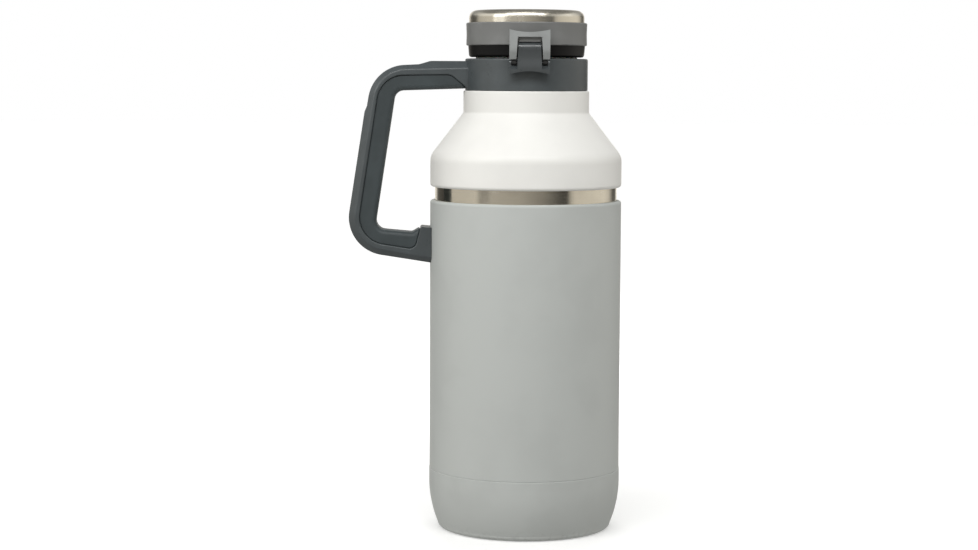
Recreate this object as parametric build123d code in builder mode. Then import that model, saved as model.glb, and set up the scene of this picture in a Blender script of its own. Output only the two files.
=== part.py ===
"""Growler: a double-walled steel beer bottle with a latched, hinged lid and a side handle.

Millimetres, +Z up. The origin is on the bottle's axis, at the plane that it stands on.
The latch is at the front (-Y), the lid's hinge at the back (+Y) and the handle at -X.
"""

import os
from math import radians, sqrt, tan

from build123d import *

# ---- Driving dimensions -------------------------------------------------------------

BODY_R = 59.5  # outside of the sleeve and of the shoulder cover
SHELL_R = 56.6  # outside of the steel shell, seen in the band between the two
SKIN_GAP = 0.15  # bond line between the steel shell and its covers
SHELL_WALL = 0.8
VESSEL_R = 52.6  # outside of the steel liner
VESSEL_WALL = 0.6

SEAM_Z = 38.0  # top of the boot
SLEEVE_TOP = 205.5
COVER_BOTTOM = 213.8
CONE_ANGLE = 37.5  # shoulder cone, from the vertical
CONE_R = 39.76  # radius of the cone's surface at CONE_Z
CONE_Z = 258.7
CONE_FILLET = 10.0
NECK_COVER_R = 39.0
COVER_TOP = 273.2

NECK_R = 32.5  # outside of the steel neck
LINER_NECK_R = 29.2  # outside of the liner's neck
RIM_Z = 286.0  # top of the steel neck
MOUTH_R = 27.6  # bore of the pouring ring

COLLAR_R = 38.0
COLLAR_BOTTOM = 273.35
COLLAR_TOP = 293.0
COLLAR_BORE = 35.3

LID_BASE_R = 36.2  # black band
LID_BASE_BOTTOM = 293.7
LID_BAND_R = 37.5
LID_BAND_BOTTOM = 301.0
LID_BAND_TOP = 315.0
CAP_R = 35.7
CAP_TOP = 322.6
PLUG_BOTTOM = 284.0

HINGE_Y = 43.0
HINGE_Z = 296.5
HINGE_PIN_R = 1.5
KNUCKLE_R = 3.2
RUNNING = 0.05  # radial play of a bore that turns on its pin

LATCH_HALF = 12.25  # half the latch's width
LEVER_AXIS = (40.8, 299.2)  # lever's pin: distance in front of the axis, height
BAIL_AXIS = (39.8, 290.2)  # bail's pins, 1 mm behind the lever's pin, so the latch goes over centre
BARREL_R = 3.2
LEVER_PIN_R = 1.2
BAIL_PIN_R = 0.9
LUG_HALF = 3.6
CATCH_FRONT = 42.0

SPINE_HALF = 11.0  # half the handle's depth
GRIP_HALF = 10.0

# ---- Helpers ------------------------------------------------------------------------

CONE_SLOPE = tan(radians(CONE_ANGLE))
CONE_NORMAL = sqrt(1 + CONE_SLOPE**2)


def cone_height(radius, inset):
    """Height at which the shoulder cone, moved inwards by inset, has this radius."""
    return CONE_Z - (radius + inset * CONE_NORMAL - CONE_R) / CONE_SLOPE


def front(distance, height):
    """Point of a section across the latch, given its distance in front of the axis."""
    return (-distance, height)


def outline(points, corner_radii):
    """Closed face through the points, with each corner rounded to its own radius."""
    with BuildSketch() as face:
        with BuildLine():
            FilletPolyline(*points, radius=corner_radii, close=True)
        make_face()
    return face.sketch


def finish(builder, label):
    """Name a finished piece and write its STEP file."""
    builder.part.label = label
    export_step(builder.part, f"parts/{label}.step")


os.makedirs("parts", exist_ok=True)

# ---- Double-walled bottle -----------------------------------------------------------

COVER_WALL = 2.2  # shoulder cover, on the cone
SHELL_INSET = COVER_WALL + SKIN_GAP
VACUUM_INSET = SHELL_INSET + SHELL_WALL + 3.2
SHELL_BOTTOM = 6.0
SHELL_HEEL_R = 51.5
SHELL_TURN_Z = 24.0  # the shell draws in towards its heel below this height
HEEL_SLOPE = (SHELL_R - SHELL_HEEL_R) / (SHELL_TURN_Z - SHELL_BOTTOM)
VESSEL_BOTTOM = 14.0
FLOOR_FILLET = 7.0

CUP_WELD_Z = 230.0  # the liner's drawn cup meets its shoulder here
NECK_WELD_Z = 264.8  # and the shoulder meets the neck tube here
LINER_R = VESSEL_R - VESSEL_WALL
LINER_NECK_BORE = LINER_NECK_R - VESSEL_WALL

with BuildPart() as liner_cup:
    with BuildSketch(Plane.XZ):
        section = outline(
            [
                (0, VESSEL_BOTTOM),
                (VESSEL_R, VESSEL_BOTTOM),
                (VESSEL_R, CUP_WELD_Z),
                (LINER_R, CUP_WELD_Z),
                (LINER_R, VESSEL_BOTTOM + VESSEL_WALL),
                (0, VESSEL_BOTTOM + VESSEL_WALL),
            ],
            [0, FLOOR_FILLET, 0, 0, FLOOR_FILLET - VESSEL_WALL, 0],
        )
        add(section)
    revolve(axis=Axis.Z)
finish(liner_cup, "liner_cup")

with BuildPart() as liner_shoulder:
    liner_inset = VACUUM_INSET + VESSEL_WALL
    with BuildSketch(Plane.XZ):
        section = outline(
            [
                (VESSEL_R, CUP_WELD_Z),
                (VESSEL_R, cone_height(VESSEL_R, VACUUM_INSET)),
                (LINER_NECK_R, cone_height(LINER_NECK_R, VACUUM_INSET)),
                (LINER_NECK_R, NECK_WELD_Z),
                (LINER_NECK_BORE, NECK_WELD_Z),
                (LINER_NECK_BORE, cone_height(LINER_NECK_BORE, liner_inset)),
                (LINER_R, cone_height(LINER_R, liner_inset)),
                (LINER_R, CUP_WELD_Z),
            ],
            [0, 4.4, 5.0, 0, 0, 5.6, 3.8, 0],
        )
        add(section)
    revolve(axis=Axis.Z)
finish(liner_shoulder, "liner_shoulder")

with BuildPart() as liner_neck:
    with BuildSketch(Plane.XY.offset(NECK_WELD_Z)):
        Circle(LINER_NECK_R)
        Circle(LINER_NECK_BORE, mode=Mode.SUBTRACT)
    extrude(amount=RIM_Z - NECK_WELD_Z)
finish(liner_neck, "liner_neck")

with BuildPart() as outer_shell:
    shell_in = SHELL_R - SHELL_WALL
    neck_in = NECK_R - SHELL_WALL
    shell_inset = SHELL_INSET + SHELL_WALL
    with BuildSketch(Plane.XZ):
        section = outline(
            [
                (SHELL_HEEL_R, SHELL_BOTTOM),
                (SHELL_R, SHELL_TURN_Z),
                (SHELL_R, cone_height(SHELL_R, SHELL_INSET)),
                (NECK_R, cone_height(NECK_R, SHELL_INSET)),
                (NECK_R, RIM_Z),
                (LINER_NECK_R, RIM_Z),
                (LINER_NECK_R, RIM_Z - SHELL_WALL),
                (neck_in, RIM_Z - SHELL_WALL),
                (neck_in, cone_height(neck_in, shell_inset)),
                (shell_in, cone_height(shell_in, shell_inset)),
                (shell_in, SHELL_TURN_Z),
                (SHELL_HEEL_R - SHELL_WALL, SHELL_BOTTOM),
            ],
            [0, 12, 7.6, 5, 0.7, 0, 0, 0, 5.8, 6.8, 11, 0],
        )
        add(section)
    revolve(axis=Axis.Z)
finish(outer_shell, "outer_shell")

SEAL_HOLE_R = 2.0
BASE_DISC_Z = SHELL_BOTTOM + 0.2
BASE_DISC_R = SHELL_HEEL_R - SHELL_WALL - 0.05

with BuildPart() as shell_base:
    with BuildSketch(Plane.XZ):
        section = outline(
            [
                (SEAL_HOLE_R, BASE_DISC_Z + 2.0),
                (12, BASE_DISC_Z + 2.0),
                (16, BASE_DISC_Z),
                (BASE_DISC_R, BASE_DISC_Z),
                (BASE_DISC_R, BASE_DISC_Z + SHELL_WALL),
                (15.7, BASE_DISC_Z + SHELL_WALL),
                (11.7, BASE_DISC_Z + 2.0 + SHELL_WALL),
                (SEAL_HOLE_R, BASE_DISC_Z + 2.0 + SHELL_WALL),
            ],
            [0, 1.5, 1.5, 0, 0, 1.5, 1.5, 0],
        )
        add(section)
    revolve(axis=Axis.Z)
finish(shell_base, "shell_base")

with BuildPart() as vacuum_seal:
    with BuildSketch(Plane.XZ):
        section = outline(
            [
                (0, BASE_DISC_Z + 1.0),
                (5, BASE_DISC_Z + 1.0),
                (5, BASE_DISC_Z + 2.0),
                (SEAL_HOLE_R, BASE_DISC_Z + 2.0),
                (SEAL_HOLE_R, BASE_DISC_Z + 2.0 + SHELL_WALL),
                (0, BASE_DISC_Z + 2.0 + SHELL_WALL),
            ],
            [0, 0.6, 0, 0, 0, 0],
        )
        add(section)
    revolve(axis=Axis.Z)
finish(vacuum_seal, "vacuum_seal")

with BuildPart() as getter:
    with BuildSketch(Plane.XY.offset(BASE_DISC_Z + SHELL_WALL)):
        with Locations((30, 0)):
            Circle(6)
    extrude(amount=3)
    fillet(getter.faces().sort_by(Axis.Z)[-1].edges(), 1.0)
finish(getter, "getter")

# ---- Covers of the bottle -----------------------------------------------------------

COVER_BORE = SHELL_R + SKIN_GAP
COVER_NECK_BORE = 36.4

with BuildPart() as shoulder_cover:
    with BuildSketch(Plane.XZ):
        section = outline(
            [
                (BODY_R, COVER_BOTTOM),
                (BODY_R, cone_height(BODY_R, 0)),
                (NECK_COVER_R, cone_height(NECK_COVER_R, 0)),
                (NECK_COVER_R, COVER_TOP),
                (NECK_R + 0.9, COVER_TOP),
                (NECK_R + 0.9, COVER_TOP - 1.8),
                (COVER_NECK_BORE, COVER_TOP - 1.8),
                (COVER_NECK_BORE, cone_height(COVER_NECK_BORE, COVER_WALL)),
                (COVER_BORE, cone_height(COVER_BORE, COVER_WALL)),
                (COVER_BORE, COVER_BOTTOM),
            ],
            [2.0, CONE_FILLET, 2.0, 0.8, 0, 0, 0.8, 4.0, 7.7, 0.4],
        )
        add(section)
    revolve(axis=Axis.Z)
finish(shoulder_cover, "shoulder_cover")

FOOT_BOTTOM = 166.4
FOOT_TOP = 189.1
BRACKET_Z = (FOOT_BOTTOM + FOOT_TOP) / 2
BRACKET_HALF = 8.0
BRACKET_HEIGHT = 18.0

with BuildPart() as body_sleeve:
    with BuildSketch(Plane.XZ):
        section = outline(
            [
                (COVER_BORE, SEAM_Z + 0.05),
                (BODY_R, SEAM_Z + 0.05),
                (BODY_R, SLEEVE_TOP),
                (COVER_BORE, SLEEVE_TOP),
            ],
            [0, 0.15, 1.6, 0.3],
        )
        add(section)
    revolve(axis=Axis.Z)
    with BuildSketch(Plane.YZ.offset(-SHELL_R)):
        with Locations((0, BRACKET_Z)):
            RectangleRounded(2 * BRACKET_HALF + 1, BRACKET_HEIGHT + 1, 1.5)
    extrude(amount=12, both=True, mode=Mode.SUBTRACT)
finish(body_sleeve, "body_sleeve")

BOOT_R = 59.7
BOOT_TURN_Z = 30.0  # the side starts to draw in here
BOOT_SIDE_ARC = 70.0
BOOT_HEEL_Z = 3.2
BOOT_FLOOR = 4.2
PAD_R = 49.0
PAD_HEIGHT = 1.4
boot_heel_r = BOOT_R - BOOT_SIDE_ARC + sqrt(BOOT_SIDE_ARC**2 - (BOOT_TURN_Z - BOOT_HEEL_Z) ** 2)
boot_mid_z = (BOOT_TURN_Z + BOOT_HEEL_Z) / 2
boot_mid_r = BOOT_R - BOOT_SIDE_ARC + sqrt(BOOT_SIDE_ARC**2 - (BOOT_TURN_Z - boot_mid_z) ** 2)

with BuildPart() as base_boot:
    with BuildSketch(Plane.XZ):
        with BuildLine():
            Polyline(
                (SHELL_R + SKIN_GAP, SEAM_Z),
                (BOOT_R - 0.5, SEAM_Z),
                (BOOT_R, SEAM_Z - 0.5),
                (BOOT_R, BOOT_TURN_Z),
            )
            ThreePointArc((BOOT_R, BOOT_TURN_Z), (boot_mid_r, boot_mid_z), (boot_heel_r, BOOT_HEEL_Z))
            ThreePointArc(
                (boot_heel_r, BOOT_HEEL_Z), (boot_heel_r - 1.1, 1.0), (boot_heel_r - 3.2, 0.2)
            )
            Polyline(
                (boot_heel_r - 3.2, 0.2),
                (PAD_R, 0.2),
                (PAD_R, PAD_HEIGHT),
                (0, PAD_HEIGHT),
                (0, BOOT_FLOOR),
                (SHELL_HEEL_R - 3, BOOT_FLOOR),
                (SHELL_HEEL_R - 2, SHELL_BOTTOM - SKIN_GAP),
                (SHELL_HEEL_R + SKIN_GAP, SHELL_BOTTOM - SKIN_GAP),
                (SHELL_R + SKIN_GAP, SHELL_TURN_Z),
                (SHELL_R + SKIN_GAP, SEAM_Z),
            )
        make_face()
    revolve(axis=Axis.Z)
finish(base_boot, "base_boot")

with BuildPart() as foot_pad:
    with BuildSketch():
        Circle(PAD_R - 0.2)
    extrude(amount=PAD_HEIGHT)
    fillet(foot_pad.faces().sort_by(Axis.Z)[0].edges(), 0.6)
finish(foot_pad, "foot_pad")

# ---- Handle -------------------------------------------------------------------------

# Centre-plane curves of the handle, as corners and rounding radii, from the collar round
# to the foot: the outside of the rigid spine, the seam between the spine and the soft
# grip, the inside of the grip, and the line where the flanks turn into the outer bevel.
OUTER_CORNERS = [
    (-35.0, 291.4),
    (-59.5, 291.4),
    (-66.5, 289.3),
    (-94.6, 287.9),
    (-98.7, 263.5),
    (-100.2, 260.0),
    (-113.2, 175.0),
    (-56.0, FOOT_BOTTOM - 0.2),
]
OUTER_RADII = [6, 8, 23.5, 4, 4, 23.5]
SEAM_CORNERS = [
    (-34.6, 272.9),
    (-47.0, 283.1),
    (-90.4, 282.4),
    (-105.6, 180.8),
    (-69.0, 175.1),
    (-64.6, 192.0),
]
SEAM_RADII = [6, 17, 17, 4.5]
INNER_CORNERS = [
    (-35.0, 274.6),
    (-80.9, 273.0),
    (-93.7, 187.5),
    (-70.6, 185.5),
    (-64.7, FOOT_TOP),
    (-56.0, FOOT_TOP - 0.8),
]
INNER_RADII = [6, 6, 3, 1.5]
BEVEL_CORNERS = [
    (-35.0, 287.0),
    (-91.6, 285.6),
    (-108.9, 178.3),
    (-56.0, FOOT_BOTTOM + 3.0),
]
BEVEL_RADII = [20.3, 20.3]
BEVEL_REACH = 5.7  # the bevel slopes outwards from its line this far, past the outline
BEVEL_ROUND = 1.8
GRIP_ROUND = 3.0
CORE_INSET = 3.2
CORE_HALF = 4.5
SEAM_ROUND = 0.8

with BuildSketch() as handle_face:
    with BuildLine():
        FilletPolyline(*OUTER_CORNERS, radius=OUTER_RADII)
        Line(OUTER_CORNERS[-1], INNER_CORNERS[-1])
        FilletPolyline(*INNER_CORNERS, radius=INNER_RADII)
        Line(INNER_CORNERS[0], OUTER_CORNERS[0])
    make_face()

with BuildSketch() as grip_zone:
    with BuildLine():
        FilletPolyline(*SEAM_CORNERS, radius=SEAM_RADII)
        Polyline(SEAM_CORNERS[-1], (-64.3, 230.0), (-45.0, 250.0), SEAM_CORNERS[0])
    make_face()

with BuildSketch() as core_face:
    add(handle_face.sketch)
    offset(amount=-CORE_INSET, mode=Mode.REPLACE)

FOOT_SCREW_X = -(BODY_R + 2.7)
SCREW_R = 1.25
SCREW_HEAD_R = 2.4
SCREW_HEAD_TOP = FOOT_BOTTOM + 4.4
BRACKET_PLATE = 1.6
LUG_BOTTOM = SCREW_HEAD_TOP + 2.4
LUG_TOP = FOOT_TOP - 5.0
LUG_END = BODY_R + 5.1  # the bracket's lug reaches this far out
LUG_WIDTH = 4.0  # half its width

with BuildPart() as handle_bracket:
    with BuildSketch(Plane.XY.offset(BRACKET_Z - BRACKET_HEIGHT / 2)):
        Circle(SHELL_R + BRACKET_PLATE)
        Circle(SHELL_R, mode=Mode.SUBTRACT)
        with Locations((-SHELL_R, 0)):
            Rectangle(12, 2 * BRACKET_HALF, mode=Mode.INTERSECT)
    extrude(amount=BRACKET_HEIGHT)
    with BuildSketch(Plane.XY.offset(LUG_BOTTOM)):
        with Locations((-SHELL_R - 0.8, 0)):
            Rectangle(LUG_END - SHELL_R - 0.8, 2 * LUG_WIDTH, align=(Align.MAX, Align.CENTER))
    extrude(amount=LUG_TOP - LUG_BOTTOM)
    with Locations((FOOT_SCREW_X, 0, LUG_TOP)):
        Hole(SCREW_R, depth=LUG_TOP - LUG_BOTTOM)
finish(handle_bracket, "handle_bracket")

with BuildPart() as foot_screw:
    with Locations((FOOT_SCREW_X, 0, SCREW_HEAD_TOP - 2.4)):
        Cylinder(SCREW_HEAD_R, 2.4, align=(Align.CENTER, Align.CENTER, Align.MIN))
    fillet(foot_screw.faces().sort_by(Axis.Z)[0].edges(), 0.6)
    with BuildSketch(Plane.XY.offset(SCREW_HEAD_TOP - 2.4)):
        with Locations((FOOT_SCREW_X, 0)):
            RegularPolygon(1.35, 6)
    extrude(amount=1.4, mode=Mode.SUBTRACT)
    with Locations((FOOT_SCREW_X, 0, SCREW_HEAD_TOP)):
        Cylinder(SCREW_R, LUG_TOP - SCREW_HEAD_TOP - 1.0, align=(Align.CENTER, Align.CENTER, Align.MIN))
finish(foot_screw, "foot_screw")

# The latch's lug on the collar: a leaning finger with a round end about the lever's pin.
LUG_END_R = 2.0
LUG_FRONT = 39.4
lever_axis_point = front(*LEVER_AXIS)
bail_axis_point = front(*BAIL_AXIS)

with BuildSketch() as lug_finger:
    with BuildLine():
        Line(front(37.7, COLLAR_TOP), front(LUG_FRONT, COLLAR_TOP - 0.5))
        CenterArc(lever_axis_point, LUG_END_R, 0, 360)
    make_hull()
with BuildSketch() as lug_base:
    add(
        outline(
            [
                front(36.3, 285.6),
                front(LUG_FRONT, 288.2),
                front(LUG_FRONT, COLLAR_TOP - 0.5),
                front(37.7, COLLAR_TOP),
                front(36.3, COLLAR_TOP),
            ],
            [0, 1.5, 0, 0, 0],
        )
    )
with BuildSketch() as lug_face:
    add(lug_finger.sketch)
    add(lug_base.sketch)

HINGE_LUG_IN = 6.2
HINGE_LUG_OUT = 11.2
HINGE_HEAD = 0.8

with BuildSketch() as hinge_lug_face:
    with BuildLine():
        Line((35.2, 284.5), (35.2, COLLAR_TOP - 0.4))
        CenterArc((HINGE_Y, HINGE_Z), KNUCKLE_R, 0, 360)
    make_hull()

with BuildLine(Plane.XZ) as bevel_curve:
    FilletPolyline(*BEVEL_CORNERS, radius=BEVEL_RADII)
with BuildLine(Plane.XZ) as slope_curve:
    offset(bevel_curve.line, amount=BEVEL_REACH, side=Side.LEFT, closed=False)
slope_start = ((slope_curve.line @ 0).X, (slope_curve.line @ 0).Z)
slope_end = ((slope_curve.line @ 1).X, (slope_curve.line @ 1).Z)
with BuildLine(Plane.XZ) as seam_curve:
    FilletPolyline(*SEAM_CORNERS, radius=SEAM_RADII)
with BuildLine(Plane.XZ) as inner_curve:
    FilletPolyline(*INNER_CORNERS, radius=INNER_RADII)


def rim_edges(part, half, curve):
    """Long edges of the handle that run along a centre-plane curve, on both flanks."""

    def runs_along(edge):
        middle = edge @ 0.5
        on_flank = abs(abs(middle.Y) - half) < 0.01
        return on_flank and curve.line.distance_to(Vector(middle.X, 0, middle.Z)) < 0.05

    return part.edges().filter_by(runs_along)


with BuildPart() as spine:
    with BuildSketch(Plane.XZ):
        with BuildLine():
            add(slope_curve.line.moved(Plane.XZ.location.inverse()))
            Polyline(slope_end, (0, slope_end[1]), (0, slope_start[1]), slope_start)
        make_face()
    extrude(amount=SPINE_HALF, both=True)
    chamfer(rim_edges(spine, SPINE_HALF, slope_curve), BEVEL_REACH)
    fillet(rim_edges(spine, SPINE_HALF, bevel_curve), BEVEL_ROUND)
    with BuildSketch(Plane.XZ):
        add(handle_face.sketch)
        add(grip_zone.sketch, mode=Mode.SUBTRACT)
    extrude(amount=SPINE_HALF, both=True, mode=Mode.INTERSECT)
    fillet(rim_edges(spine, SPINE_HALF, seam_curve), SEAM_ROUND)
    # core of the spine, buried in the grip
    with BuildSketch(Plane.XZ):
        add(core_face.sketch)
    extrude(amount=CORE_HALF, both=True)
    # root inside the collar's wall, and the foot's saddle on the sleeve
    with BuildSketch(Plane.XY.offset(COLLAR_BOTTOM - 5)):
        Circle(COLLAR_R - 1.0)
    extrude(amount=30, mode=Mode.SUBTRACT)
    with BuildSketch(Plane.XY.offset(FOOT_BOTTOM - 5)):
        Circle(BODY_R + SKIN_GAP)
    extrude(amount=40, mode=Mode.SUBTRACT)
    # pocket and screw hole for the bracket's lug
    with BuildSketch(Plane.XY.offset(LUG_BOTTOM - 0.2)):
        with Locations((-LUG_END - 0.3, 0)):
            Rectangle(8, 2 * LUG_WIDTH + 0.4, align=(Align.MIN, Align.CENTER))
    extrude(amount=LUG_TOP - LUG_BOTTOM + 0.4, mode=Mode.SUBTRACT)
    with Locations(Plane((FOOT_SCREW_X, 0, FOOT_BOTTOM - 4), z_dir=(0, 0, -1))):
        Hole(SCREW_R + 0.2, depth=LUG_BOTTOM - FOOT_BOTTOM + 5)
        Hole(SCREW_HEAD_R + 0.3, depth=SCREW_HEAD_TOP - FOOT_BOTTOM + 4)

with BuildPart() as handle_collar:
    with BuildSketch(Plane.XZ):
        section = outline(
            [
                (NECK_R + 0.9, COVER_TOP),
                (COLLAR_R - 1.2, COVER_TOP),
                (COLLAR_R - 1.2, COLLAR_BOTTOM),
                (COLLAR_R, COLLAR_BOTTOM),
                (COLLAR_R, COLLAR_TOP),
                (COLLAR_BORE, COLLAR_TOP),
                (COLLAR_BORE, COVER_TOP + 3.2),
                (NECK_R + 0.9, COVER_TOP + 3.2),
            ],
            [0, 0, 0, 0.4, 1.0, 0.4, 0.6, 0],
        )
        add(section)
    revolve(axis=Axis.Z)
    add(spine.part)
    # latch lug at the front
    with BuildSketch(Plane.YZ):
        add(lug_face.sketch)
        with Locations(lever_axis_point):
            Circle(LEVER_PIN_R, mode=Mode.SUBTRACT)
    extrude(amount=LUG_HALF, both=True)
    # hinge lugs at the back
    with BuildSketch(Plane.YZ.offset(HINGE_LUG_IN), Plane.YZ.offset(-HINGE_LUG_OUT)):
        add(hinge_lug_face.sketch)
        with Locations((HINGE_Y, HINGE_Z)):
            Circle(HINGE_PIN_R, mode=Mode.SUBTRACT)
    extrude(amount=HINGE_LUG_OUT - HINGE_LUG_IN)
finish(handle_collar, "handle_collar")

with BuildPart() as grip_insert:
    with BuildSketch(Plane.XZ):
        add(handle_face.sketch)
        add(grip_zone.sketch, mode=Mode.INTERSECT)
    extrude(amount=GRIP_HALF, both=True)
    fillet(rim_edges(grip_insert, GRIP_HALF, inner_curve), GRIP_ROUND)
    fillet(rim_edges(grip_insert, GRIP_HALF, seam_curve), SEAM_ROUND)
    with BuildSketch(Plane.XZ):
        add(core_face.sketch)
    extrude(amount=CORE_HALF, both=True, mode=Mode.SUBTRACT)
    with BuildSketch(Plane.XY.offset(COLLAR_BOTTOM - 5)):
        Circle(COLLAR_R + SKIN_GAP)
    extrude(amount=30, mode=Mode.SUBTRACT)
finish(grip_insert, "grip_insert")

# ---- Pouring ring -------------------------------------------------------------------

RING_LIP = 291.0
SEAL_THICKNESS = 1.0
RING_CLAMP = RIM_Z + SEAL_THICKNESS

with BuildPart() as pour_ring:
    with BuildSketch(Plane.XZ):
        section = outline(
            [
                (NECK_R + 0.1, COVER_TOP + 3.2),
                (COLLAR_BORE - 0.3, COVER_TOP + 3.2),
                (COLLAR_BORE - 0.3, RING_CLAMP + 2.4),
                (31.0, RING_CLAMP + 2.4),
                (31.0, RING_LIP),
                (MOUTH_R, RING_LIP),
                (MOUTH_R, RING_CLAMP),
                (NECK_R + 0.1, RING_CLAMP),
            ],
            [0, 0.5, 0.8, 0.5, 0.9, 1.2, 0.5, 0],
        )
        add(section)
    revolve(axis=Axis.Z)
finish(pour_ring, "pour_ring")

with BuildPart() as neck_seal:
    with BuildSketch(Plane.XZ):
        section = outline(
            [
                (LINER_NECK_R + 0.2, RIM_Z),
                (NECK_R - 0.2, RIM_Z),
                (NECK_R - 0.2, RING_CLAMP),
                (LINER_NECK_R + 0.2, RING_CLAMP),
            ],
            [0.2] * 4,
        )
        add(section)
    revolve(axis=Axis.Z)
finish(neck_seal, "neck_seal")

# ---- Lid ----------------------------------------------------------------------------

SEAL_R_IN = 27.2
SEAL_R_OUT = 31.4
SEAL_BOTTOM = RING_LIP + 0.3
LID_SPIGOT_R = 33.3
BAND_BORE = CAP_R + 0.1
CAP_SEAT = 310.5
SPIGOT_TOP = 309.8

with BuildPart() as lid_base:
    with BuildSketch(Plane.XZ):
        section = outline(
            [
                (0, PLUG_BOTTOM),
                (26.1, PLUG_BOTTOM),
                (26.9, SEAL_BOTTOM + 0.4),
                (26.9, LID_BASE_BOTTOM + 0.2),
                (LID_BASE_R - 0.6, LID_BASE_BOTTOM + 0.2),
                (LID_BASE_R, LID_BAND_BOTTOM),
                (LID_SPIGOT_R, LID_BAND_BOTTOM),
                (LID_SPIGOT_R, SPIGOT_TOP),
                (LID_SPIGOT_R - 1.8, SPIGOT_TOP),
                (LID_SPIGOT_R - 1.8, LID_BASE_BOTTOM + 2.2),
                (24.9, LID_BASE_BOTTOM + 2.2),
                (24.2, PLUG_BOTTOM + 2),
                (0, PLUG_BOTTOM + 2),
            ],
            [0, 1.5, 0, 0, 1.6, 0, 0, 0.3, 0.3, 1.0, 0.5, 1.0, 0],
        )
        add(section)
    revolve(axis=Axis.Z)
finish(lid_base, "lid_base")

with BuildPart() as lid_seal:
    with BuildSketch(Plane.XZ):
        section = outline(
            [
                (26.95, SEAL_BOTTOM + 0.6),
                (28.0, SEAL_BOTTOM),
                (SEAL_R_OUT, SEAL_BOTTOM),
                (SEAL_R_OUT, LID_BASE_BOTTOM + 0.2),
                (26.95, LID_BASE_BOTTOM + 0.2),
            ],
            [0.3, 0.4, 0.7, 0.3, 0],
        )
        add(section)
    revolve(axis=Axis.Z)
finish(lid_seal, "lid_seal")

with BuildPart() as lid_insulation:
    with BuildSketch(Plane.XZ):
        section = outline(
            [
                (0, PLUG_BOTTOM + 2.1),
                (23.9, PLUG_BOTTOM + 2.1),
                (23.9, LID_BASE_BOTTOM + 2.3),
                (LID_SPIGOT_R - 2.0, LID_BASE_BOTTOM + 2.3),
                (LID_SPIGOT_R - 2.0, SPIGOT_TOP + 2),
                (CAP_R - 1.1, SPIGOT_TOP + 2),
                (CAP_R - 1.1, CAP_TOP - 4),
                (0, CAP_TOP - 2.5),
            ],
            [0, 1.0, 0.4, 1.0, 0.5, 0.5, 2.0, 0],
        )
        add(section)
    revolve(axis=Axis.Z)
finish(lid_insulation, "lid_insulation")

CAP_WALL = 0.8
CAP_CROWN = 0.5  # rise of the cap's centre above its shoulder
CAP_EDGE = 4.6

with BuildPart() as lid_cap:
    with BuildSketch(Plane.XZ):
        section = outline(
            [
                (0, CAP_TOP + CAP_CROWN),
                (CAP_R, CAP_TOP),
                (CAP_R, CAP_SEAT + 0.1),
                (CAP_R - CAP_WALL, CAP_SEAT + 0.1),
                (CAP_R - CAP_WALL, CAP_TOP - CAP_WALL),
                (0, CAP_TOP + CAP_CROWN - CAP_WALL),
            ],
            [0, CAP_EDGE, 0, 0, CAP_EDGE - CAP_WALL, 0],
        )
        add(section)
    revolve(axis=Axis.Z)
finish(lid_cap, "lid_cap")

CATCH_HALF = 6.5
CATCH_BOTTOM = 302.7
CATCH_TOP = 305.6
KNUCKLE_HALF = 5.9

with BuildSketch() as knuckle_face:
    with BuildLine():
        Line((36.6, 303.0), (36.6, 311.0))
        CenterArc((HINGE_Y, HINGE_Z), KNUCKLE_R, 0, 360)
    make_hull()

with BuildPart() as lid_band:
    with BuildSketch(Plane.XZ):
        section = outline(
            [
                (LID_SPIGOT_R + 0.1, LID_BAND_BOTTOM),
                (LID_BAND_R - 0.1, LID_BAND_BOTTOM),
                (LID_BAND_R - 0.3, (LID_BAND_BOTTOM + LID_BAND_TOP) / 2),
                (LID_BAND_R, LID_BAND_TOP),
                (BAND_BORE, LID_BAND_TOP),
                (BAND_BORE, CAP_SEAT),
                (LID_SPIGOT_R + 0.1, CAP_SEAT),
            ],
            [0, 0.7, 40, 0.8, 0.4, 0, 0],
        )
        add(section)
    revolve(axis=Axis.Z)
    # catch at the front, and the hinge knuckle at the back
    with BuildSketch(Plane.YZ):
        section = outline(
            [
                front(36.4, CATCH_BOTTOM - 1.0),
                front(39.5, CATCH_BOTTOM),
                front(CATCH_FRONT, CATCH_BOTTOM),
                front(CATCH_FRONT, CATCH_TOP),
                front(36.4, CATCH_TOP - 0.4),
            ],
            [0, 0.8, 0.5, 0.5, 0],
        )
        add(section)
    extrude(amount=CATCH_HALF, both=True)
    with BuildSketch(Plane.YZ):
        add(knuckle_face.sketch)
        with Locations((HINGE_Y, HINGE_Z)):
            Circle(HINGE_PIN_R + RUNNING, mode=Mode.SUBTRACT)
    extrude(amount=KNUCKLE_HALF, both=True)
finish(lid_band, "lid_band")

with BuildPart() as hinge_pin:
    with BuildSketch(Plane.YZ):
        with Locations((HINGE_Y, HINGE_Z)):
            Circle(HINGE_PIN_R)
    extrude(amount=HINGE_LUG_OUT + 0.1, both=True)
    with BuildSketch(Plane.YZ.offset(HINGE_LUG_OUT), Plane.YZ.offset(-HINGE_LUG_OUT - HINGE_HEAD)):
        with Locations((HINGE_Y, HINGE_Z)):
            Circle(HINGE_PIN_R + 0.7)
    extrude(amount=HINGE_HEAD)
finish(hinge_pin, "hinge_pin")

# ---- Latch --------------------------------------------------------------------------

TONGUE_TOP_HALF = 6.7
TONGUE_LOW_HALF = 7.4
PAD_TOP = 288.4
PAD_CORNER = 283.2  # the pad's lower edge is hollowed between its corners
PAD_MIDDLE = 285.2
EAR_IN = 11.2
EAR_R = 1.9
LEVER_BACK = 38.4
axis_d, axis_z = LEVER_AXIS

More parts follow.
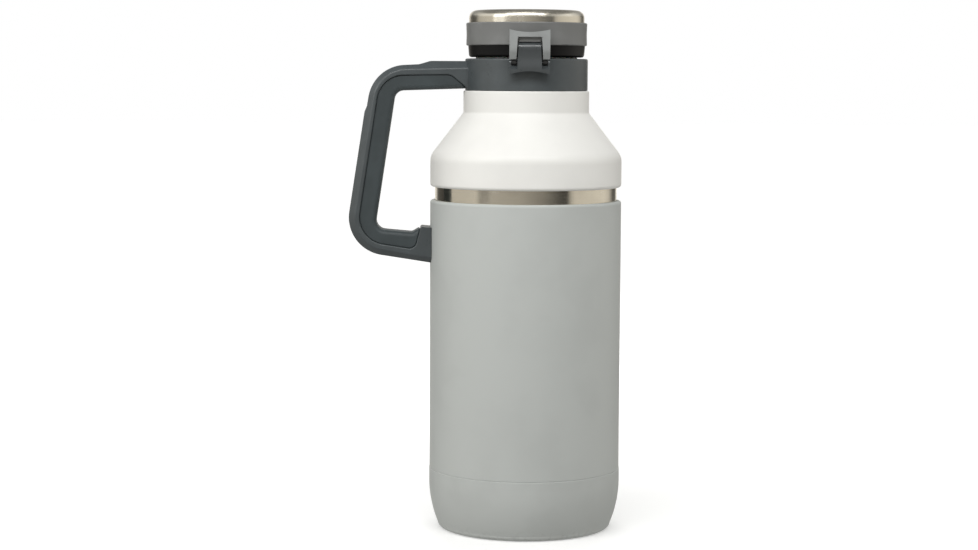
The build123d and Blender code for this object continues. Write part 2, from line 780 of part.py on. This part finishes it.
with BuildSketch() as lever_side:
    with BuildLine():
        Spline(
            front(43.57, 297.6),
            front(42.9, 295.2),
            front(43.0, 291.4),
            front(42.4, PAD_CORNER - 1),
        )
        Polyline(
            front(42.4, PAD_CORNER - 1),
            front(39.6, PAD_CORNER - 1),
            front(LEVER_BACK, 285.0),
            front(LEVER_BACK, 293.4),
            front(axis_d - BARREL_R + 0.05, axis_z - 0.6),
            front(axis_d, axis_z),
            front(43.57, 297.6),
        )
    make_face()
    with Locations(lever_axis_point):
        Circle(BARREL_R)

with BuildSketch() as lever_front:
    with BuildLine():
        Polyline(
            (LATCH_HALF, PAD_CORNER),
            (LATCH_HALF, PAD_TOP),
            (TONGUE_LOW_HALF, PAD_TOP),
            (TONGUE_TOP_HALF, axis_z + 4),
            (-TONGUE_TOP_HALF, axis_z + 4),
            (-TONGUE_LOW_HALF, PAD_TOP),
            (-LATCH_HALF, PAD_TOP),
            (-LATCH_HALF, PAD_CORNER),
        )
        ThreePointArc((-LATCH_HALF, PAD_CORNER), (0, PAD_MIDDLE), (LATCH_HALF, PAD_CORNER))
    make_face()

with BuildPart() as latch_lever:
    with BuildSketch(Plane.YZ):
        add(lever_side.sketch)
    extrude(amount=LATCH_HALF, both=True)
    with BuildSketch(Plane.XZ):
        add(lever_front.sketch)
    extrude(amount=60, mode=Mode.INTERSECT)
    # bevel under the bail's legs, so that they can fold forwards
    with BuildSketch(Plane.YZ.offset(TONGUE_LOW_HALF), Plane.YZ.offset(-LATCH_HALF)):
        section = outline(
            [
                front(40.6, PAD_TOP + 1),
                front(40.6, PAD_TOP),
                front(44, PAD_TOP - 2.4),
                front(44, PAD_TOP + 1),
            ],
            [0] * 4,
        )
        add(section)
    extrude(amount=LATCH_HALF - TONGUE_LOW_HALF, mode=Mode.SUBTRACT)
    # ears that carry the outer ends of the bail's pins
    with BuildSketch(Plane.YZ.offset(EAR_IN), Plane.YZ.offset(-LATCH_HALF)):
        with Locations(bail_axis_point):
            Circle(EAR_R)
        with Locations(front(BAIL_AXIS[0], PAD_TOP)):
            Rectangle(2 * EAR_R - 0.6, 3)
    extrude(amount=LATCH_HALF - EAR_IN)
    # slot for the collar's lug, open behind so that the lever can swing out
    with BuildSketch(Plane.YZ):
        add(lug_face.sketch)
        offset(amount=0.35)
        add(
            outline(
                [
                    front(axis_d - 0.3, axis_z + LUG_END_R + 0.35),
                    front(axis_d - 1.4, axis_z + 4),
                    front(axis_d - 7, axis_z + 4),
                    front(axis_d - 7, PAD_CORNER - 2),
                    front(LUG_FRONT + 0.35, PAD_CORNER - 2),
                    front(LUG_FRONT + 0.35, COLLAR_TOP - 0.5),
                    front(axis_d, axis_z),
                ],
                [0] * 7,
            )
        )
    extrude(amount=LUG_HALF + 0.35, both=True, mode=Mode.SUBTRACT)
    with BuildSketch(Plane.YZ):
        with Locations(lever_axis_point):
            Circle(LEVER_PIN_R + RUNNING)
    extrude(amount=TONGUE_LOW_HALF, both=True, mode=Mode.SUBTRACT)
    with BuildSketch(Plane.YZ.offset(5.2), Plane.YZ.offset(-LATCH_HALF + 0.1)):
        with Locations(bail_axis_point):
            Circle(BAIL_PIN_R)
    extrude(amount=LATCH_HALF - 5.3, mode=Mode.SUBTRACT)
finish(latch_lever, "latch_lever")

with BuildPart() as lever_pin:
    with BuildSketch(Plane.YZ):
        with Locations(lever_axis_point):
            Circle(LEVER_PIN_R)
    extrude(amount=TONGUE_TOP_HALF - 0.2, both=True)
finish(lever_pin, "lever_pin")

with BuildPart() as bail_pins:
    with BuildSketch(Plane.YZ.offset(5.2), Plane.YZ.offset(-LATCH_HALF + 0.1)):
        with Locations(bail_axis_point):
            Circle(BAIL_PIN_R)
    extrude(amount=LATCH_HALF - 5.3)
finish(bail_pins, "bail_pins")

BAIL_TOP = 310.3
BAIL_TOP_MIDDLE = 308.7
BAIL_LEG_BOTTOM = 292.4
WINDOW_TOP = 305.9
WINDOW_TOP_HALF = 7.3
WINDOW_LOW_HALF = 8.15
BAR_BACK = CATCH_FRONT + 0.3
TANG_OUT = 10.9
TANG_R = 1.4
LEG_BACK = 39.8
BAR_FRONT = 43.8
LEG_KNEE = 44.9  # the legs stand out furthest here and turn back towards their toes
LEG_KNEE_Z = 297.6
LEG_TOE = 42.2

with BuildSketch() as bail_side:
    with BuildLine():
        Polyline(
            front(LEG_TOE, BAIL_LEG_BOTTOM),
            front(LEG_BACK, BAIL_LEG_BOTTOM),
            front(LEG_BACK, BAIL_TOP + 1),
            front(BAR_FRONT, BAIL_TOP + 1),
        )
        FilletPolyline(
            front(BAR_FRONT, BAIL_TOP + 1),
            front(LEG_KNEE, LEG_KNEE_Z),
            front(LEG_TOE, BAIL_LEG_BOTTOM),
            radius=6,
        )
    make_face()

with BuildSketch() as bail_front:
    with BuildLine():
        Polyline(
            (-LATCH_HALF, BAIL_TOP),
            (-LATCH_HALF, BAIL_LEG_BOTTOM - 1),
            (-WINDOW_LOW_HALF, BAIL_LEG_BOTTOM - 1),
            (-WINDOW_TOP_HALF, WINDOW_TOP),
            (WINDOW_TOP_HALF, WINDOW_TOP),
            (WINDOW_LOW_HALF, BAIL_LEG_BOTTOM - 1),
            (LATCH_HALF, BAIL_LEG_BOTTOM - 1),
            (LATCH_HALF, BAIL_TOP),
        )
        ThreePointArc((LATCH_HALF, BAIL_TOP), (0, BAIL_TOP_MIDDLE), (-LATCH_HALF, BAIL_TOP))
    make_face()

with BuildSketch() as tang_face:
    with BuildLine():
        Line(front(39.9, BAIL_LEG_BOTTOM + 0.6), front(40.9, BAIL_LEG_BOTTOM + 0.6))
        CenterArc(bail_axis_point, TANG_R, 0, 360)
    make_hull()
    with Locations(bail_axis_point):
        Circle(BAIL_PIN_R + RUNNING, mode=Mode.SUBTRACT)

with BuildPart() as latch_bail:
    with BuildSketch(Plane.YZ):
        add(bail_side.sketch)
    extrude(amount=LATCH_HALF, both=True)
    with BuildSketch(Plane.XZ):
        add(bail_front.sketch)
    extrude(amount=60, mode=Mode.INTERSECT)
    # the crossbar stands just in front of the catch
    with BuildSketch(Plane.XY.offset(WINDOW_TOP - 1)):
        with Locations((0, -BAR_BACK)):
            Rectangle(2 * WINDOW_TOP_HALF, 10, align=(Align.CENTER, Align.MIN))
    extrude(amount=10, mode=Mode.SUBTRACT)
    with BuildSketch(Plane.YZ.offset(WINDOW_LOW_HALF), Plane.YZ.offset(-TANG_OUT)):
        add(tang_face.sketch)
    extrude(amount=TANG_OUT - WINDOW_LOW_HALF)
finish(latch_bail, "latch_bail")
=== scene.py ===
"""Growler: looks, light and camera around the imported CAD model. Metres, +Z up."""

import math

import bmesh
import bpy
from mathutils import Matrix, Vector

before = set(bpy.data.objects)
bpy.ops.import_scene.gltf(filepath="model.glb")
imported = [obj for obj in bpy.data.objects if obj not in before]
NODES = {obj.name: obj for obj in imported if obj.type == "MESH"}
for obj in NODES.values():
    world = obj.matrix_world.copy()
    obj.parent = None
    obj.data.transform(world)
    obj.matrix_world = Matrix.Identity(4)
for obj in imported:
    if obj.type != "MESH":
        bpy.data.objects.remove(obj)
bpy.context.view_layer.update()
scene = bpy.context.scene

MM = 0.001

# ---- Camera -------------------------------------------------------------------------

CAMERA_DISTANCE = 1.3645  # from the bottle's axis, level
CAMERA_HEIGHT = 0.2822
CAMERA_SIDE = math.radians(2.6)  # how far round towards the handle it stands
CAMERA_PITCH = math.radians(5.19)
CAMERA_YAW = math.radians(0.95)
CAMERA_ROLL = math.radians(0.28)

camera_data = bpy.data.cameras.new("camera")
camera_data.sensor_width = 36
camera_data.lens = 80.6
camera_data.clip_start = 0.05
camera_data.clip_end = 60
camera = bpy.data.objects.new("camera", camera_data)
scene.collection.objects.link(camera)
camera.matrix_world = (
    Matrix.Rotation(-CAMERA_SIDE, 4, "Z")
    @ Matrix.Translation((0, -CAMERA_DISTANCE, CAMERA_HEIGHT))
    @ Matrix.Rotation(CAMERA_YAW, 4, "Z")
    @ Matrix.Rotation(math.radians(90) - CAMERA_PITCH, 4, "X")
    @ Matrix.Rotation(CAMERA_ROLL, 4, "Z")
)
scene.camera = camera

# ---- Light --------------------------------------------------------------------------

scene.view_settings.view_transform = "Standard"
scene.view_settings.look = "None"

# Brightness of the studio by bearing, in degrees from the front: positive to the right.
WALLS = [
    (-180, 0.95),
    (-162, 0.95),
    (-150, 0.12),
    (-122, 0.05),
    (-115, 0.66),
    (-68, 0.70),
    (-61, 0.30),
    (-52, 0.34),
    (-46, 0.52),
    (-12, 0.46),
    (5, 0.38),
    (20, 0.28),
    (38, 0.10),
    (51, 0.05),
    (56, 0.55),
    (62, 0.76),
    (115, 0.90),
    (126, 0.70),
    (140, 0.14),
    (152, 0.12),
    (162, 0.95),
    (180, 0.95),
]
WALL_TINT = (1.0, 0.955, 0.87)
UPPER = [
    (-180, 0.42),
    (-150, 0.36),
    (-95, 1.20),
    (-50, 0.72),
    (0, 0.42),
    (50, 0.64),
    (95, 1.25),
    (150, 0.36),
    (180, 0.42),
]
UPPER_TINT = (1, 1, 0.985)
CEILING = (0.24, 0.24, 0.2364, 1)
GROUND = (0.50, 0.50, 0.49, 1)
# Heights at which one part of the room gives way to the next, as the direction's Z.
WALLS_TO_UPPER = (0.16, 0.30)
WALLS_TO_GROUND = (-0.14, -0.34)
UPPER_TO_CEILING = (0.50, 0.66)


def make_world():
    world = bpy.data.worlds.new("studio")
    scene.world = world
    world.use_nodes = True
    tree = world.node_tree
    tree.nodes.clear()
    new = tree.nodes.new
    link = tree.links.new
    coords = new("ShaderNodeTexCoord")
    split = new("ShaderNodeSeparateXYZ")
    link(coords.outputs["Generated"], split.inputs[0])
    flip = new("ShaderNodeMath")
    flip.operation = "MULTIPLY"
    flip.inputs[1].default_value = -1
    link(split.outputs["Y"], flip.inputs[0])
    bearing = new("ShaderNodeMath")
    bearing.operation = "ARCTAN2"
    link(split.outputs["X"], bearing.inputs[0])
    link(flip.outputs[0], bearing.inputs[1])
    share = new("ShaderNodeMapRange")
    share.inputs["From Min"].default_value = -math.pi
    share.inputs["From Max"].default_value = math.pi
    link(bearing.outputs[0], share.inputs["Value"])

    def round_the_room(levels, tint):
        ramp = new("ShaderNodeValToRGB")
        link(share.outputs["Result"], ramp.inputs[0])
        stops = ramp.color_ramp.elements
        while len(stops) > 1:
            stops.remove(stops[-1])
        for index, (degrees, level) in enumerate(levels):
            place = (degrees + 180) / 360
            stop = stops[0] if index == 0 else stops.new(place)
            stop.position = place
            stop.color = tuple(level * channel for channel in tint) + (1,)
        return ramp.outputs["Color"]

    def blend_by_height(low, high, start, end):
        rise = new("ShaderNodeMapRange")
        rise.interpolation_type = "SMOOTHSTEP"
        rise.inputs["From Min"].default_value = start
        rise.inputs["From Max"].default_value = end
        link(split.outputs["Z"], rise.inputs["Value"])
        mix = new("ShaderNodeMix")
        mix.data_type = "RGBA"
        link(rise.outputs["Result"], mix.inputs["Factor"])
        link(low, mix.inputs["A"])
        if isinstance(high, tuple):
            mix.inputs["B"].default_value = high
        else:
            link(high, mix.inputs["B"])
        return mix.outputs["Result"]

    walls = round_the_room(WALLS, WALL_TINT)
    upper = round_the_room(UPPER, UPPER_TINT)
    lit = blend_by_height(walls, upper, *WALLS_TO_UPPER)
    lit = blend_by_height(lit, GROUND, *WALLS_TO_GROUND)
    lit = blend_by_height(lit, CEILING, *UPPER_TO_CEILING)
    room = new("ShaderNodeBackground")
    link(lit, room.inputs["Color"])
    white = new("ShaderNodeBackground")
    white.inputs["Color"].default_value = (1, 1, 1, 1)
    path = new("ShaderNodeLightPath")
    choose = new("ShaderNodeMixShader")
    link(path.outputs["Is Camera Ray"], choose.inputs[0])
    link(room.outputs[0], choose.inputs[1])
    link(white.outputs[0], choose.inputs[2])
    out = new("ShaderNodeOutputWorld")
    link(choose.outputs[0], out.inputs["Surface"])


make_world()


def softbox(name, place, target, width, height, power, colour=(1, 1, 1)):
    data = bpy.data.lights.new(name, "AREA")
    data.shape = "RECTANGLE"
    data.size = width
    data.size_y = height
    data.energy = power
    data.color = colour
    lamp = bpy.data.objects.new(name, data)
    scene.collection.objects.link(lamp)
    lamp.location = place
    lamp.rotation_euler = (Vector(target) - Vector(place)).to_track_quat("-Z", "Y").to_euler()
    return lamp


softbox("top_softbox", (-0.06, -0.74, 1.04), (0, 0, 0.22), 1.4, 0.36, 9.0)
softbox("left_softbox", (-1.25, -0.75, 0.85), (0, 0, 0.2), 0.7, 0.9, 5.0, (1.0, 0.995, 0.98))
back_softbox = softbox("back_softbox", (0.15, 1.10, 0.95), (0, 0, 0.2), 1.2, 0.5, 8.0)
back_softbox.visible_glossy = False  # no streak on the polished cap

# ---- Floor --------------------------------------------------------------------------

FLOOR_R = 12.0
GLOW_FROM, GLOW_TO = 0.05, 0.60  # metres from the axis
GLOW_NEAR, GLOW_FAR = 0.30, 0.72


def make_floor():
    mesh = bpy.data.meshes.new("floor")
    build = bmesh.new()
    bmesh.ops.create_circle(build, cap_ends=True, radius=FLOOR_R, segments=96)
    build.to_mesh(mesh)
    build.free()
    floor = bpy.data.objects.new("floor", mesh)
    scene.collection.objects.link(floor)
    material = bpy.data.materials.new("studio_floor")
    material.use_nodes = True
    shader = material.node_tree.nodes["Principled BSDF"]
    shader.inputs["Base Color"].default_value = (0.80, 0.80, 0.79, 1)
    shader.inputs["Roughness"].default_value = 0.85
    shader.inputs["Specular IOR Level"].default_value = 0.1
    shader.inputs["Emission Color"].default_value = (1, 1, 1, 1)
    # the floor brightens with distance, so that it runs out into the white backdrop
    tree = material.node_tree
    coords = tree.nodes.new("ShaderNodeTexCoord")
    length = tree.nodes.new("ShaderNodeVectorMath")
    length.operation = "LENGTH"
    tree.links.new(coords.outputs["Object"], length.inputs[0])
    glow = tree.nodes.new("ShaderNodeMapRange")
    glow.interpolation_type = "SMOOTHSTEP"
    tree.links.new(length.outputs["Value"], glow.inputs["Value"])
    for socket, number in zip(glow.inputs[1:5], (GLOW_FROM, GLOW_TO, GLOW_NEAR, GLOW_FAR)):
        socket.default_value = number
    tree.links.new(glow.outputs["Result"], shader.inputs["Emission Strength"])
    mesh.materials.append(material)
    floor.visible_diffuse = False
    floor.visible_glossy = False


make_floor()

# ---- Materials ----------------------------------------------------------------------


class Surface:
    """A node material built up from layers. Object coordinates are the model's own metres."""

    def __init__(self, name, colour, roughness, **sockets):
        self.material = bpy.data.materials.new(name)
        self.material.use_nodes = True
        self.tree = self.material.node_tree
        self.shader = self.tree.nodes["Principled BSDF"]
        self.shader.inputs["Base Color"].default_value = (*colour, 1)
        self.shader.inputs["Roughness"].default_value = roughness
        for socket, value in sockets.items():
            self.shader.inputs[socket.replace("_", " ")].default_value = value
        self.coords = self.add("ShaderNodeTexCoord").outputs["Object"]
        split = self.add("ShaderNodeSeparateXYZ")
        self.link(self.coords, split.inputs[0])
        self.x, self.y, self.z = split.outputs
        self.height = None

    def add(self, kind):
        return self.tree.nodes.new(kind)

    def link(self, source, target):
        self.tree.links.new(source, target)

    def math(self, operation, first, second=None):
        node = self.add("ShaderNodeMath")
        node.operation = operation
        for socket, value in zip(node.inputs, (first, second)):
            if isinstance(value, (int, float)):
                socket.default_value = value
            elif value is not None:
                self.link(value, socket)
        return node.outputs[0]

    def remap(self, value, low, high, to_low=0.0, to_high=1.0):
        node = self.add("ShaderNodeMapRange")
        node.interpolation_type = "SMOOTHSTEP"
        self.link(value, node.inputs["Value"])
        for socket, number in zip(node.inputs[1:5], (low, high, to_low, to_high)):
            socket.default_value = number
        return node.outputs["Result"]

    def noise(self, size, detail=2.0, stretch=(1, 1, 1), coords=None):
        """Noise whose features are about this many metres across, longer where stretch is."""
        mapping = self.add("ShaderNodeMapping")
        self.link(coords or self.coords, mapping.inputs["Vector"])
        mapping.inputs["Scale"].default_value = [1 / (size * s) for s in stretch]
        node = self.add("ShaderNodeTexNoise")
        node.inputs["Scale"].default_value = 1.0
        node.inputs["Detail"].default_value = detail
        self.link(mapping.outputs[0], node.inputs["Vector"])
        return node.outputs["Fac"]

    def polar(self, along):
        """Coordinates that run quickly with the radius and slowly round the axis."""
        across = self.math("MULTIPLY", self.x, self.x)
        square = self.math("ADD", across, self.math("MULTIPLY", self.y, self.y))
        node = self.add("ShaderNodeCombineXYZ")
        self.link(self.math("SQRT", square), node.inputs[0])
        self.link(self.math("MULTIPLY", self.x, 1 / along), node.inputs[1])
        self.link(self.math("MULTIPLY", self.y, 1 / along), node.inputs[2])
        return node.outputs[0]

    def tint(self, mask, colour):
        """Mixes a colour over what is there, where the mask is 1."""
        mix = self.add("ShaderNodeMix")
        mix.data_type = "RGBA"
        self.link(mask, mix.inputs["Factor"])
        socket = self.shader.inputs["Base Color"]
        if socket.is_linked:
            self.link(socket.links[0].from_socket, mix.inputs["A"])
        else:
            mix.inputs["A"].default_value = socket.default_value
        mix.inputs["B"].default_value = (*colour, 1)
        self.link(mix.outputs["Result"], socket)

    def roughen(self, mask, amount):
        """Adds amount times the mask to the roughness."""
        socket = self.shader.inputs["Roughness"]
        change = self.math("MULTIPLY", mask, amount)
        before = socket.links[0].from_socket if socket.is_linked else socket.default_value
        self.link(self.math("ADD", change, before), socket)

    def bump(self, height, metres):
        """Raises the surface by height times metres, on top of the bumps already there."""
        node = self.add("ShaderNodeBump")
        node.inputs["Strength"].default_value = 1.0
        node.inputs["Distance"].default_value = metres
        self.link(height, node.inputs["Height"])
        if self.height is not None:
            self.link(self.height, node.inputs["Normal"])
        self.height = node.outputs["Normal"]
        self.link(self.height, self.shader.inputs["Normal"])

    def variation(self, colour, size, low=0.42, high=0.66):
        self.tint(self.remap(self.noise(size, 3.0), low, high), colour)

    def scuffs(self, amount):
        """Faint rubbed streaks that show in the gloss only."""
        streak = self.remap(self.noise(0.45 * MM, 2.0, (1, 1, 14)), 0.60, 0.72)
        patch = self.remap(self.noise(27 * MM, 2.0), 0.50, 0.62)
        self.roughen(self.math("MULTIPLY", streak, patch), amount)


def shade(colour, factor):
    return tuple(min(1.0, channel * factor) for channel in colour)


def powder_coat(name, colour, roughness, dusk):
    """Matt coat: orange peel under a fine grain, slightly uneven in tone."""
    s = Surface(name, colour, roughness, Specular_IOR_Level=0.42)
    s.variation(dusk, 38 * MM)
    grain = s.noise(0.34 * MM, 2.0)
    s.tint(s.remap(grain, 0.60, 0.74, 0.0, 0.10), shade(colour, 0.80))
    s.roughen(s.remap(grain, 0.35, 0.65, -0.05, 0.05), 1.0)
    s.scuffs(0.10)
    s.bump(s.noise(1.6 * MM, 1.0), 0.018 * MM)
    s.bump(grain, 0.016 * MM)
    return s


def moulded(name, colour, roughness, grain_size=0.42 * MM, grain_height=0.02 * MM, **sockets):
    """Moulded plastic with a spark-eroded grain, rubbed smoother in places."""
    s = Surface(name, colour, roughness, **sockets)
    s.variation(shade(colour, 1.14), 16 * MM)
    grain = s.noise(grain_size, 3.0)
    s.tint(s.remap(grain, 0.55, 0.75, 0.0, 0.25), shade(colour, 1.35))
    s.roughen(s.remap(grain, 0.3, 0.7, -0.06, 0.06), 1.0)
    rubbed = s.remap(s.noise(11 * MM, 2.0), 0.52, 0.70)
    s.roughen(rubbed, -0.10)
    s.bump(grain, grain_height)
    return s


def rubber(name, colour, roughness, **sockets):
    """Soft-touch elastomer: very fine grain, dusty bloom."""
    s = Surface(name, colour, roughness, **sockets)
    s.variation(shade(colour, 1.22), 22 * MM)
    grain = s.noise(0.22 * MM, 3.0)
    s.tint(s.remap(grain, 0.5, 0.75, 0.0, 0.22), shade(colour, 1.5))
    s.roughen(s.remap(grain, 0.3, 0.7, -0.05, 0.05), 1.0)
    s.bump(s.noise(2.2 * MM, 1.0), 0.012 * MM)
    s.bump(grain, 0.014 * MM)
    return s


def tangent_round_z(s):
    node = s.add("ShaderNodeTangent")
    node.direction_type = "RADIAL"
    node.axis = "Z"
    s.link(node.outputs[0], s.shader.inputs["Tangent"])


def brushed(name, colour, roughness, anisotropy, turned=False):
    """Steel with fine brush lines that run round the axis."""
    s = Surface(name, colour, roughness, Metallic=1.0, Anisotropic=anisotropy, Anisotropic_Rotation=0.25)
    tangent_round_z(s)
    s.variation(shade(colour, 0.93), 20 * MM)
    if turned:
        lines = s.noise(0.16 * MM, 3.0, coords=s.polar(120.0))
        broad = s.noise(1.3 * MM, 2.0, coords=s.polar(160.0))
    else:
        lines = s.noise(0.14 * MM, 3.0, (160, 160, 1))
        broad = s.noise(0.9 * MM, 2.0, (60, 60, 1))
    s.tint(s.remap(lines, 0.50, 0.72, 0.0, 0.30), shade(colour, 0.80))
    s.roughen(s.remap(lines, 0.35, 0.65, -0.05, 0.07), 1.0)
    s.roughen(s.remap(s.noise(7 * MM, 3.0), 0.55, 0.72), 0.06)
    s.bump(broad, 0.004 * MM)
    s.bump(lines, 0.003 * MM)
    return s


def plain_metal(name, colour, roughness):
    s = Surface(name, colour, roughness, Metallic=1.0)
    s.variation(shade(colour, 0.86), 3 * MM)
    fine = s.noise(0.2 * MM, 3.0)
    s.roughen(s.remap(fine, 0.3, 0.7, -0.08, 0.10), 1.0)
    s.bump(fine, 0.006 * MM)
    return s


WHITE = (0.86, 0.855, 0.825)
SLEEVE = (0.515, 0.537, 0.521)
SPINE_GREY = (0.058, 0.068, 0.072)
LEVER_GREY = (0.043, 0.050, 0.053)
GRIP_BLUE = (0.037, 0.047, 0.050)
BAND_GREY = (0.165, 0.168, 0.165)
LATCH_GREY = (0.270, 0.282, 0.280)
BLACK = (0.0045, 0.0045, 0.0048)
# near-black painted shade for the bail's toes
TOE_SHADE_BLACK = (0.006, 0.006, 0.006)
STEEL = (0.66, 0.62, 0.53)

cover_white = powder_coat("cover_white", WHITE, 0.42, shade(WHITE, 0.965))
sleeve_grey = powder_coat("sleeve_grey", SLEEVE, 0.50, shade(SLEEVE, 0.96))

boot_grey = powder_coat("boot_grey", shade(SLEEVE, 0.99), 0.58, shade(SLEEVE, 0.93))
# handling marks where the boot meets the table
low_down = boot_grey.remap(boot_grey.z, 9 * MM, 1 * MM)
specks = boot_grey.remap(boot_grey.noise(2.5 * MM, 4.0), 0.48, 0.68)
scuffed = boot_grey.math("MULTIPLY", low_down, specks)
boot_grey.tint(boot_grey.math("MULTIPLY", scuffed, 0.30), shade(SLEEVE, 0.62))
boot_grey.roughen(scuffed, 0.16)

spine_grey = moulded("spine_grey", SPINE_GREY, 0.40, Specular_IOR_Level=0.5)
# fine mould parting line along the handle's centre plane
spine_line = spine_grey.remap(spine_grey.math("ABSOLUTE", spine_grey.y), 0.16 * MM, 0.05 * MM)
outboard = spine_grey.remap(spine_grey.x, -41 * MM, -44 * MM)
spine_grey.bump(spine_grey.math("MULTIPLY", spine_line, outboard), 0.05 * MM)
grip_soft = rubber(
    "grip_soft", GRIP_BLUE, 0.52, Specular_IOR_Level=0.42, Sheen_Weight=0.08, Sheen_Roughness=0.5
)
band_grey = moulded("band_grey", BAND_GREY, 0.46, Specular_IOR_Level=0.45)
latch_grey = moulded("latch_grey", LATCH_GREY, 0.40, 0.36 * MM, 0.015 * MM, Specular_IOR_Level=0.5)
# the bail's toes below its legs are painted near-black: painted shade for the shadow in the pockets they
# sit in
toe_shade = latch_grey.remap(latch_grey.z, 292.4 * MM, 292.2 * MM)
latch_grey.tint(toe_shade, TOE_SHADE_BLACK)
latch_grey.roughen(toe_shade, 0.25)
lever_grey = moulded("lever_grey", LEVER_GREY, 0.36, 0.36 * MM, 0.014 * MM, Specular_IOR_Level=0.80)
black_plastic = moulded("black_plastic", BLACK, 0.42, 0.5 * MM, 0.012 * MM, Specular_IOR_Level=0.16)
pad_rubber = rubber("pad_rubber", (0.035, 0.036, 0.037), 0.70, Specular_IOR_Level=0.35)
silicone = rubber(
    "silicone",
    (0.52, 0.53, 0.52),
    0.38,
    Subsurface_Weight=0.25,
    Subsurface_Scale=0.002,
    Specular_IOR_Level=0.45,
)
shell_steel = brushed("shell_steel", STEEL, 0.15, 0.55)
cap_steel = brushed("cap_steel", STEEL, 0.24, 0.72, turned=True)
liner_steel = brushed("liner_steel", (0.60, 0.59, 0.56), 0.30, 0.45)
screw_steel = plain_metal("screw_steel", (0.55, 0.545, 0.53), 0.30)
black_steel = plain_metal("black_steel", (0.045, 0.045, 0.047), 0.42)
foam = rubber("foam", (0.74, 0.70, 0.58), 0.85)

FINISHES = {
    "liner_cup": liner_steel,
    "liner_shoulder": liner_steel,
    "liner_neck": liner_steel,
    "outer_shell": shell_steel,
    "shell_base": shell_steel,
    "vacuum_seal": screw_steel,
    "getter": screw_steel,
    "shoulder_cover": cover_white,
    "body_sleeve": sleeve_grey,
    "base_boot": boot_grey,
    "foot_pad": pad_rubber,
    "handle_bracket": screw_steel,
    "foot_screw": screw_steel,
    "handle_collar": spine_grey,
    "grip_insert": grip_soft,
    "pour_ring": black_plastic,
    "neck_seal": silicone,
    "lid_base": black_plastic,
    "lid_seal": silicone,
    "lid_insulation": foam,
    "lid_cap": cap_steel,
    "lid_band": band_grey,
    "hinge_pin": screw_steel,
    "latch_lever": lever_grey,
    "lever_pin": black_steel,
    "bail_pins": black_steel,
    "latch_bail": latch_grey,
}

for node, piece in NODES.items():
    for slot in piece.material_slots:
        slot.material = FINISHES[node].material
